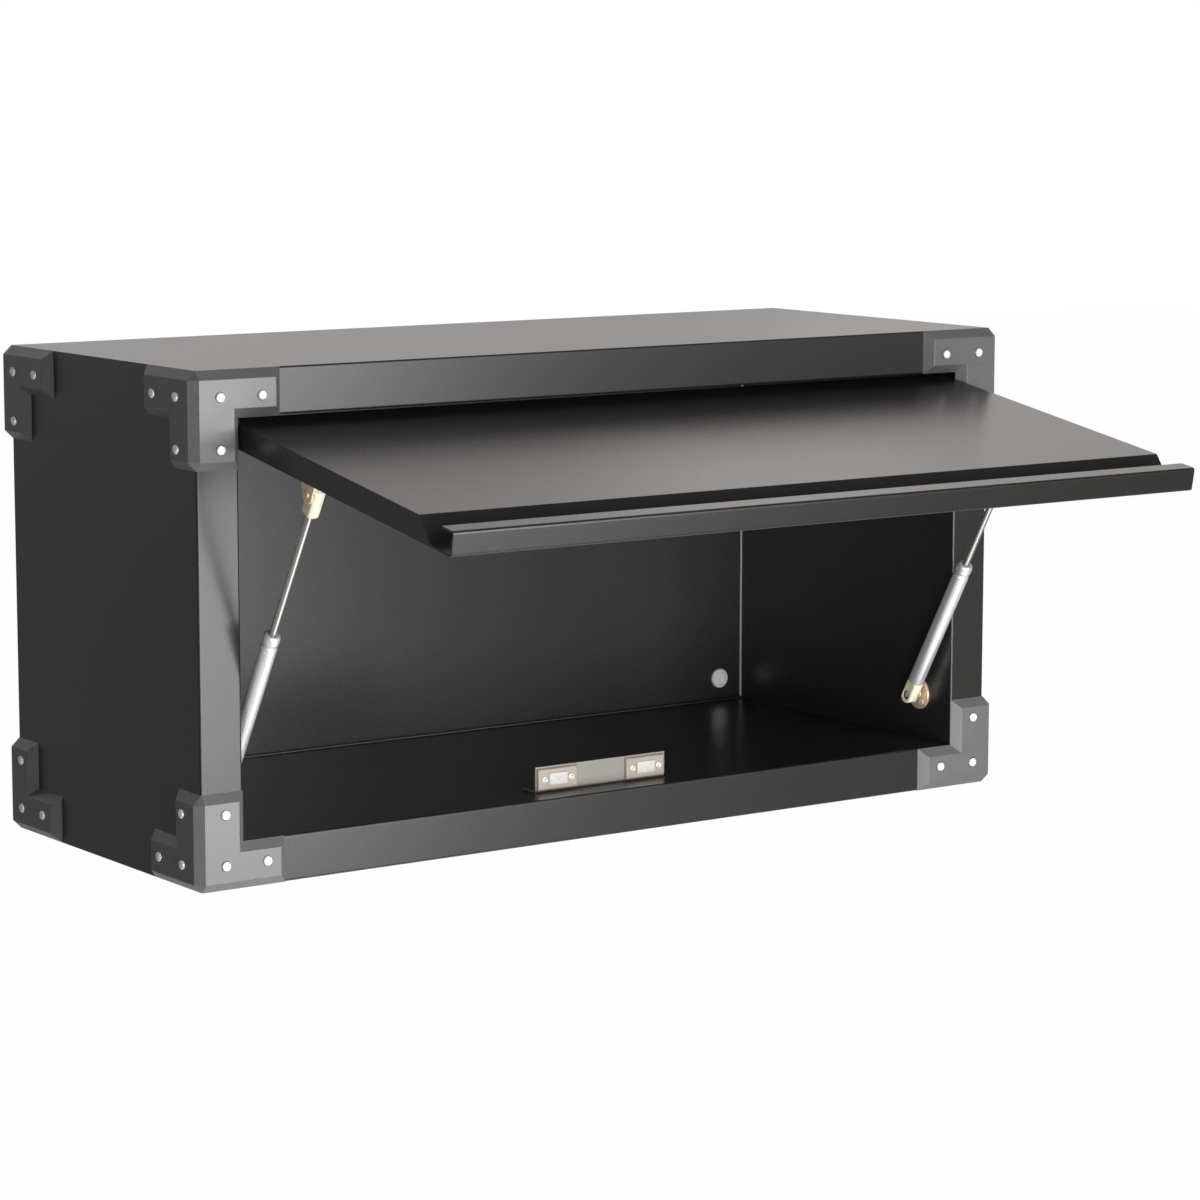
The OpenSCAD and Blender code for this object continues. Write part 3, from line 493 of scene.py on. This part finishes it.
def softened(node, slot, radius_mm, segments=3, flat=False, bores=()):
    """A merged copy of a node with its flat faces made whole again and its edges rounded. With
    bores it is a cap, whose bores are closed and of whose edges only the raised ones are
    rounded."""
    source = frame["nodes"][node]
    mesh = source.data.copy()
    mesh.name = node + "_soft"
    bm = bmesh.new()
    bm.from_mesh(mesh)
    bmesh.ops.remove_doubles(bm, verts=bm.verts, dist=SAME_COPIED)
    if bores:
        close_bores(bm, bores)
    bmesh.ops.dissolve_limit(bm, angle_limit=FLAT_ANGLE, verts=bm.verts, edges=bm.edges)
    bm.to_mesh(mesh)
    bm.free()
    mesh.polygons.foreach_set("use_smooth", np.full(len(mesh.polygons), not flat))
    if bores:
        weigh_raised_edges(mesh)
    piece = shown(node + "_soft", mesh, source["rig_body"], slot, node)
    bevel = piece.modifiers.new("edge", "BEVEL")
    bevel.width = radius_mm / 1000
    bevel.segments = segments
    bevel.limit_method = "WEIGHT" if bores else "ANGLE"
    bevel.angle_limit = EDGE_ANGLE
    bevel.harden_normals = not flat
    bevel.use_clamp_overlap = False


# Corner caps and rivets

CORNERS = [(where, side, level) for where in ("front", "rear") for side in SIDES
           for level in ("low", "top")]

# Domed head, flat ring of its seat, shank through cap and sheet, and tail. The ring, what lies
# outside SEAT_SHADE_R, is painted dark as shade where the head meets the cap.
SEAT_SHADE_R, SEAT_LEVEL, TAIL_LEVEL = 3.27, CAP_T + 0.06, -SHEET - 2.0
RIVET_HEAD = rounded([(0, CAP_T + 2.0), (1.6, CAP_T + 1.9), (2.7, CAP_T + 1.55),
                      (3.2, CAP_T + 1.0), (3.25, CAP_T + 0.2), (3.3, SEAT_LEVEL),
                      (3.7, SEAT_LEVEL), (3.7, CAP_T - 0.1), (1.6, CAP_T - 0.1), (1.6, -SHEET),
                      (2.4, -SHEET), (2.4, TAIL_LEVEL), (0, TAIL_LEVEL)], 0.4)
RIVET_SEAT_SHADE = np.where((RIVET_HEAD[:, 0] > SEAT_SHADE_R) & (RIVET_HEAD[:, 1] > 0), 1.0, 0.0)


def corner_point(where, side, level, x, y, z):
    """A point given from the front left lower corner, at any of the eight corners."""
    x -= HALF_W
    return (x if side == "left" else -x, y if where == "front" else BODY_D - y,
            z if level == "low" else BODY_H - z)


def rivet_places(where, side, level):
    """Centres and axis numbers of a corner's rivets: three on its side, and at the front three
    more.
    """
    spots = [(RIVET_EDGE, RIVET_LEVEL), (RIVET_EDGE + RIVET_STEP_LEVEL, RIVET_LEVEL),
             (RIVET_EDGE, RIVET_LEVEL + RIVET_STEP_UP)]
    places = [(corner_point(where, side, level, 0, along, up), 0) for along, up in spots]
    if where == "front":
        places += [(corner_point(where, side, level, along, 0, up), 1) for along, up in spots]
    return places


for where, side, level in CORNERS:
    corner = f"{where}_{side}_{level}"
    places = rivet_places(where, side, level)
    softened(f"cap_{corner}", "cap_plastic", 0.4, flat=True, bores=places)
    outward = [(SIDES[side], 0, 0), FORWARD]
    heads = [lathe(RIVET_HEAD, centre, outward[axis], RIVET_TURNS) for centre, axis in places]
    # The heads' rings are painted dark as shade where they meet the cap
    put(f"rivets_{corner}_heads", heads, "cabinet", "rivet_metal", f"rivets_{corner}",
        seat=np.tile(np.repeat(RIVET_SEAT_SHADE, RIVET_TURNS), len(places)))

# Plugs and wall bushes in the back panel

# Dished rims of the plug and the wall bush, towards the inside, and their bodies behind it
PLUG_DISH, PLUG_BODY_R, PLUG_BODY_LEN, PLUG_HOLLOW_R = 0.9, 6.5, 5.0, 4.5
PLUG_RIM = [(4.2, PLUG_DISH), (5.0, 0.85), (5.3, 2.3), (5.7, 2.6), (7.1, 2.6), (7.8, 1.7),
            (7.8, 0), (PLUG_BODY_R, 0)]
WALL_BORE_R = 3.3
PLUG_PROFILE = rounded([(0, PLUG_DISH)] + PLUG_RIM + [
    (PLUG_BODY_R, -PLUG_BODY_LEN), (PLUG_HOLLOW_R, -PLUG_BODY_LEN), (PLUG_HOLLOW_R, 0), (0, 0)],
    0.3)
BUSH_PROFILE = rounded([(WALL_BORE_R, PLUG_DISH)] + PLUG_RIM + [
    (PLUG_BODY_R, BACK_Y - WALL_Y), (WALL_BORE_R, BACK_Y - WALL_Y), (WALL_BORE_R, PLUG_DISH)],
    0.3)

for side, sign in SIDES.items():
    plug = lathe(PLUG_PROFILE, (sign * PLUG_X, BACK_Y, PLUG_LOW_Z), FORWARD, PLUG_TURNS)
    put(f"plug_{side}", [plug], "cabinet", "plug_plastic", f"hole_plug_{side}")
    bush = lathe(BUSH_PROFILE, (sign * PLUG_X, BACK_Y, PLUG_TOP_Z), FORWARD, PLUG_TURNS)
    put(f"bush_{side}", [bush], "cabinet", "plug_plastic", f"wall_bush_{side}")

# Struts with their fittings, and the catch

# Tube: stud in the lower socket, rolled groove, rounded mouth, and the inside down to its floor
STRUT_AXIS = (0.0, -math.sin(STRUT_LEAN), math.cos(STRUT_LEAN))
TUBE_PROFILE = rounded([
    (0, STUD_START), (STUD_R, STUD_START), (STUD_R, LOW_SOCKET), (5.3, LOW_SOCKET),
    (TUBE_R, LOW_SOCKET + 0.9), (TUBE_R, GROOVE - 1.8), (5.5, GROOVE - 0.7), (5.5, GROOVE + 0.7),
    (TUBE_R, GROOVE + 1.8), (TUBE_R, TUBE_TOP - 2.0), (5.2, TUBE_TOP - 0.4), (4.4, TUBE_TOP),
    (4.0, TUBE_TOP), (4.0, TUBE_TOP - 1.2), (5.0, TUBE_TOP - 1.2),
    (5.0, LOW_SOCKET + TUBE_FLOOR_T), (0, LOW_SOCKET + TUBE_FLOOR_T)], 0.9, 5)

# Rod with its piston at the inner end
ROD_PROFILE = rounded([
    (0, ROD_START), (PISTON_R, ROD_START), (PISTON_R, ROD_START + PISTON_LEN),
    (ROD_R, ROD_START + PISTON_LEN), (ROD_R, STRUT_LEN - STUD_START),
    (0, STRUT_LEN - STUD_START)], 0.3)

# Ball, from the neck to its pole
BALL_TURN = np.radians(np.linspace(-57, 90, 16))
BALL_ARC = np.stack([BALL_R * np.cos(BALL_TURN), BALL_R * np.sin(BALL_TURN)], -1)

# Disc on the side wall, with the collar, neck and ball of the lower pivot
DISC_FACE = -STRUT_INSET + DISC_T
DISC_PROFILE = np.concatenate([rounded([
    (0, -STRUT_INSET), (DISC_R, -STRUT_INSET), (DISC_R, -STRUT_INSET + 1.2),
    (DISC_R - 0.9, DISC_FACE), (4.4, DISC_FACE), (4.0, DISC_FACE + 0.3), (4.0, DISC_FACE + 1.0),
    (NECK_R, DISC_FACE + 1.0), (NECK_R, NECK_END)], 0.35), BALL_ARC])

# Ball stud of the upper pivot, with a thin flange next to the tongue
STUD_FOOT = -(BRACKET_X - OPEN_PIVOT_GAP - STRUT_X)
STUD_PROFILE = np.concatenate([rounded([
    (0, STUD_FOOT), (2.6, STUD_FOOT), (2.6, STUD_FOOT + 0.8), (NECK_R, STUD_FOOT + 1.0),
    (NECK_R, NECK_END)], 0.15), BALL_ARC])

for side, sign in SIDES.items():
    inward = (-sign, 0, 0)
    low = (sign * STRUT_X, *STRUT_LOW)
    high = np.add(low, np.multiply(STRUT_AXIS, STRUT_LEN))
    tube = lathe(TUBE_PROFILE, low, STRUT_AXIS, TUBE_TURNS)
    put(f"tube_{side}", [tube], f"tube_{side}", "tube_aluminium", f"strut_tube_{side}")
    rod = lathe(ROD_PROFILE, low, STRUT_AXIS, ROD_TURNS)
    put(f"rod_{side}", [rod], f"rod_{side}", "rod_chrome", f"strut_rod_{side}")
    disc = lathe(DISC_PROFILE, low, inward, DISC_TURNS)
    put(f"disc_{side}", [disc], "cabinet", "zinc_gold", f"strut_disc_{side}")
    stud = lathe(STUD_PROFILE, high, inward, STUD_TURNS)
    put(f"stud_{side}", [stud], f"rod_{side}", "stud_steel", f"ball_stud_{side}")
    softened(f"lower_socket_{side}", "socket_nylon", 0.5, 4)
    softened(f"upper_socket_{side}", "socket_nylon", 0.5, 4)
    softened(f"strut_bracket_{side}", "zinc_gold", 0.35)
    softened(f"disc_screws_{side}", "screw_steel", 0.22)
    softened(f"magnet_holder_{side}", "holder_plate", 0.25, 2, flat=True)
    softened(f"magnet_{side}", "magnet_ceramic", 0.3, 2)

# Catch screws: a low ring-shaped head round a hollow, and the shank
SCREW_PROFILE = rounded([
    (0, -0.9), (0.75, -0.9), (0.95, 0.5), (1.5, 0.7), (2.1, 0.55), (2.4, 0.2), (2.4, 0),
    (1.3, 0), (1.3, -4), (0, -4)], 0.15)
screw_xs = [sign * HOLDER_X + step * HOLDER_SCREW_STEP / 2 for sign in (-1, 1) for step in (-1, 1)]
screws = [lathe(SCREW_PROFILE, (x, HOLDER_Y, CATCH_MID_Z), FORWARD, SCREW_TURNS) for x in screw_xs]
put("catch_screw_heads", screws, "cabinet", "screw_steel", "catch_screws")

# Trim along the inside's rear corners and the floor's back edge. The corner beads are pale so that
# they stand in for the bright line of light in those corners: painted highlight.
softened("rear_corner_beads", "bead_plastic", 0.5)
softened("rear_floor_strip", "strip_paint", 0.3, 2)

# Studio

# Floor: half its side and its height in metres, the grey that carries the shadow, and the share
# of white that the camera sees
FLOOR_HALF, FLOOR_HEIGHT, FLOOR_GREY, FLOOR_SEEN = 14.0, -1.25, 0.35, 0.99

# Share of white that metal and paint see in the floor: below the cabinet, and far from it
FLOOR_GLOSS, FLOOR_NEAR, FLOOR_FAR = (1.0, 0.22), 0.5, 1.8

# Share of white that they see in the studio around, and the tint of its light
WORLD_GLOSS = 0.1
WORLD_TINT = (1, 0.962, 0.945, 1)

# Broad areas of the studio's light: direction, cosine at its edge, and strength along the middle
SKY_AREAS = [((0, -1, -0.2), 0.4, 1.1), ((0, 1, 0), 0.2, 0.42), ((0.44, 0.88, 0.13), 0.6, 0.42),
             ((0, 0, 1), -1.0, 0.05)]

# Lamps: name, place, target, width, height, power and colour
WARM = (1, 0.93, 0.905)
LAMPS = [
    ("front_right_box", (0.45, -2.1, 0.0), (-0.3, -0.26, -0.1), 0.8, 1.5, 34, (0.985, 1, 1)),
    ("front_near_box", (-0.34, -1.05, -0.32), (0.31, 0.0, -0.12), 0.4, 0.5, 5.5, (1, 1, 1)),
    ("front_low_box", (0.1, -1.0, -1.1), (0.0, -0.05, -0.15), 0.9, 0.3, 2.5, (1, 1, 1)),
    ("rear_high_box", (1.3, 1.9, 1.3), (0, -0.2, 0), 1.6, 1.0, 1.7, WARM),
    ("right_high_box", (1.9, 0.9, 1.1), (0, -0.2, 0), 1.6, 1.2, 3.8, WARM),
]

# Camera at the photograph's place: fitted to the cabinet's corners, edges and rivets
CAMERA_PLACE = (-1.55403165, -2.43917179, 0.25920867)
CAMERA_TURN = (81.7207932, -0.0684880, -35.2970259)
CAMERA_LENS, CAMERA_SENSOR, CAMERA_REACH = 114.3969, 36.0, 60.0


def reckoned(tree, operation, a, b):
    """A sum, product or maximum of two values, each a number or a socket."""
    node = tree.nodes.new("ShaderNodeMath")
    node.operation = operation
    for socket, value in zip(node.inputs, (a, b)):
        if isinstance(value, float):
            socket.default_value = value
        else:
            tree.links.new(value, socket)
    return node.outputs[0]


def seen_share(tree, camera_share, gloss_share):
    """How much of the white background a ray sees: one share for the camera's own rays, and a
    second one, a number or a socket, for the rays that come off metal and paint or through
    glass."""
    path = tree.nodes.new("ShaderNodeLightPath")
    camera_part, gloss_part, glass_part = [
        reckoned(tree, "MULTIPLY", path.outputs[label], share)
        for label, share in (("Is Camera Ray", camera_share), ("Is Glossy Ray", gloss_share),
                             ("Is Transmission Ray", gloss_share))]
    return reckoned(tree, "MAXIMUM", reckoned(tree, "MAXIMUM", camera_part, gloss_part), glass_part)


def studio_floor():
    """A wide pale floor below the hung cabinet. What the camera and metal see of it is mostly
    white, and the rest of its light carries the cabinet's soft shadow."""
    mesh = bpy.data.meshes.new("studio_floor")
    mesh.from_pydata([(x * FLOOR_HALF, y * FLOOR_HALF, FLOOR_HEIGHT)
                      for x, y in ((-1, -1), (1, -1), (1, 1), (-1, 1))], [], [(0, 1, 2, 3)])
    floor = bpy.data.objects.new("studio_floor", mesh)
    bpy.context.scene.collection.objects.link(floor)
    material = bpy.data.materials.new("floor_white")
    tree = emptied(material)
    out = tree.nodes.new("ShaderNodeOutputMaterial")
    matt = tree.nodes.new("ShaderNodeBsdfDiffuse")
    matt.inputs["Color"].default_value = (*grey(FLOOR_GREY), 1)
    glow = tree.nodes.new("ShaderNodeEmission")
    glow.inputs["Color"].default_value = (1, 1, 1, 1)
    glow.inputs["Strength"].default_value = 1.0
    mix = tree.nodes.new("ShaderNodeMixShader")
    distance = tree.nodes.new("ShaderNodeVectorMath")
    distance.operation = "LENGTH"
    tree.links.new(place_of(tree, (1, 1, 0)), distance.inputs[0])
    gloss = spread(tree, distance.outputs["Value"], *FLOOR_GLOSS, (FLOOR_NEAR, FLOOR_FAR))
    tree.links.new(seen_share(tree, FLOOR_SEEN, gloss), mix.inputs["Fac"])
    tree.links.new(matt.outputs[0], mix.inputs[1])
    tree.links.new(glow.outputs[0], mix.inputs[2])
    tree.links.new(mix.outputs[0], out.inputs["Surface"])
    mesh.materials.append(material)


def studio_world():
    """White to the camera. Its light comes from a few broad soft areas, each brightest along its
    own direction and gone at its edge, and it is weak from the left, where the photograph's
    studio is dark."""
    world = bpy.data.worlds.new("studio")
    bpy.context.scene.world = world
    tree = emptied(world)
    out = tree.nodes.new("ShaderNodeOutputWorld")
    coords = tree.nodes.new("ShaderNodeTexCoord")
    level = 0.0
    for direction, edge, strength in SKY_AREAS:
        along = tree.nodes.new("ShaderNodeVectorMath")
        along.operation = "DOT_PRODUCT"
        along.inputs[1].default_value = Vector(direction).normalized()
        tree.links.new(coords.outputs["Generated"], along.inputs[0])
        area = spread(tree, along.outputs["Value"], 0.0, strength, (edge, 1.0))
        level = reckoned(tree, "ADD", level, area)
    light = tree.nodes.new("ShaderNodeBackground")
    light.inputs["Color"].default_value = WORLD_TINT
    tree.links.new(level, light.inputs["Strength"])
    white = tree.nodes.new("ShaderNodeBackground")
    white.inputs["Color"].default_value = (1, 1, 1, 1)
    mix = tree.nodes.new("ShaderNodeMixShader")
    tree.links.new(seen_share(tree, 1.0, WORLD_GLOSS), mix.inputs["Fac"])
    tree.links.new(light.outputs[0], mix.inputs[1])
    tree.links.new(white.outputs[0], mix.inputs[2])
    tree.links.new(mix.outputs[0], out.inputs["Surface"])


def softbox(name, place, target, width, height, power, colour):
    """A soft rectangular lamp at a place, facing a target, both in row metres."""
    data = bpy.data.lights.new(name, "AREA")
    data.shape = "RECTANGLE"
    data.size, data.size_y = width, height
    data.energy = power
    data.color = colour
    lamp = bpy.data.objects.new(name, data)
    bpy.context.scene.collection.objects.link(lamp)
    lamp.location = place
    lamp.rotation_euler = (Vector(target) - Vector(place)).to_track_quat("-Z", "Y").to_euler()


studio_floor()
studio_world()
for lamp_values in LAMPS:
    softbox(*lamp_values)

camera_data = bpy.data.cameras.new("camera")
camera_data.sensor_width = CAMERA_SENSOR
camera_data.lens = CAMERA_LENS
camera_data.clip_end = CAMERA_REACH
camera = bpy.data.objects.new("camera", camera_data)
camera.location = CAMERA_PLACE
camera.rotation_euler = [math.radians(a) for a in CAMERA_TURN]
bpy.context.scene.collection.objects.link(camera)
bpy.context.scene.camera = camera
bpy.context.scene.view_settings.view_transform = "Standard"
